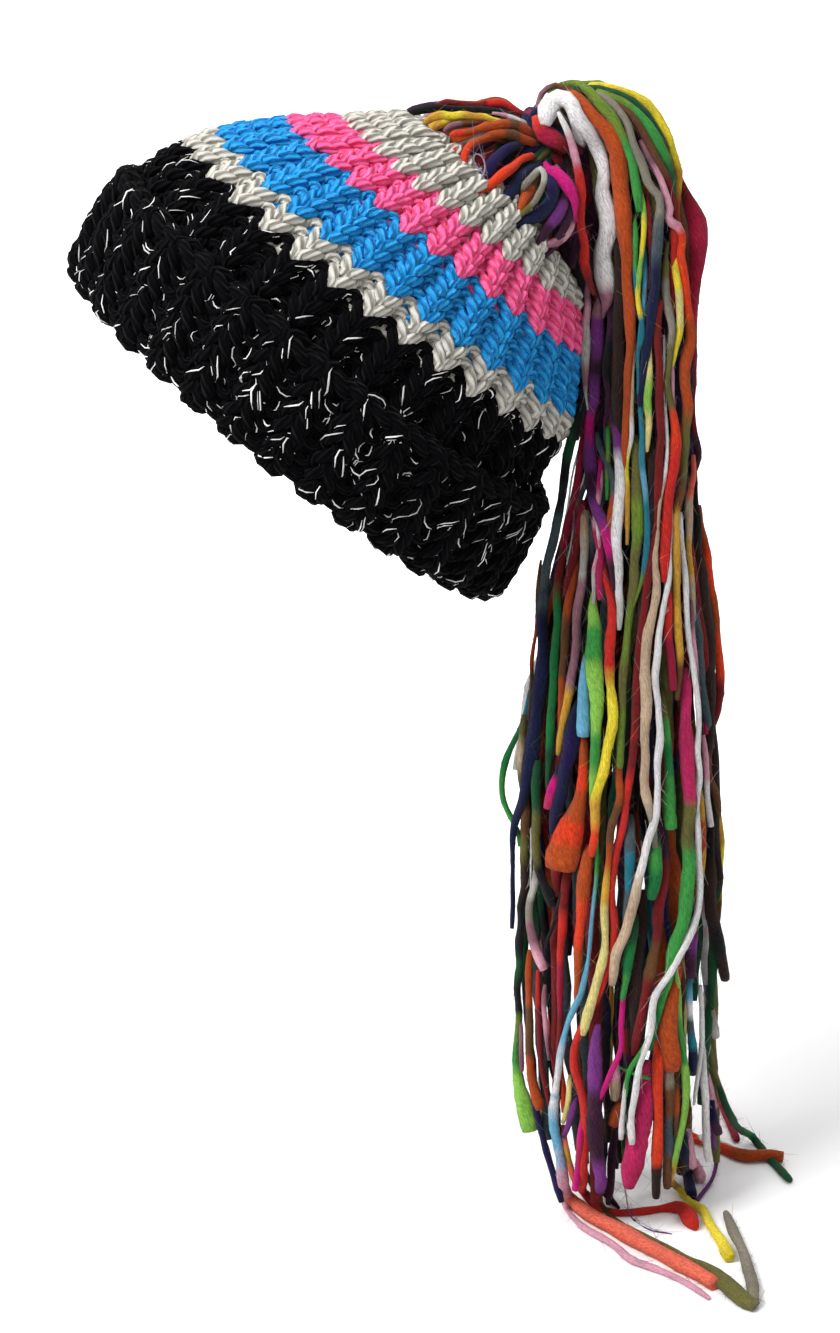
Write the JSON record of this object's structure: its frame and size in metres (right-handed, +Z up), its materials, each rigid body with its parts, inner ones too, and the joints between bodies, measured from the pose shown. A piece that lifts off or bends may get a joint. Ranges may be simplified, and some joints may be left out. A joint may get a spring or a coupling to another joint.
{
  "type": "novelty wig beanie",
  "caption": "Chunky rib-knit beanie with a folded cuff and colour stripes; wool strands looped through its open top are tied and fall behind as a long multicoloured ponytail.",
  "frame": {"origin": "middle of the head opening, in the plane of the cuff's lower edge", "axes": "+Z up, +X to the wearer's back, -Y to the wearer's left; the hat's own axis leans back 38.45 degrees from +Z towards +X"},
  "size_m": [0.2955, 0.1894, 0.4612],
  "materials": {
    "flecked_black": "plied wool-blend yarn, black with short pale flecks, matte",
    "cream_yarn": "plied wool-blend yarn, pale grey-cream, matte",
    "blue_yarn": "plied wool-blend yarn, bright blue, matte",
    "pink_yarn": "plied wool-blend yarn, pink, matte",
    "grey_yarn": "plied wool-blend yarn, pale grey, matte",
    "mixed_wool": "thick-and-thin handspun wool strands in many colours, felted and matte",
    "crimson_wool": "handspun wool strand, crimson and navy, matte"
  },
  "bodies": {
    "root": {"cuff": "flecked_black", "black_band": "flecked_black", "cream_row": "cream_yarn", "blue_stripe": "blue_yarn", "pink_stripe": "pink_yarn", "grey_crown": "grey_yarn", "crown_loops": "mixed_wool", "tie_wrap": "crimson_wool", "ponytail": "mixed_wool"}
  },
  "joints": []
}
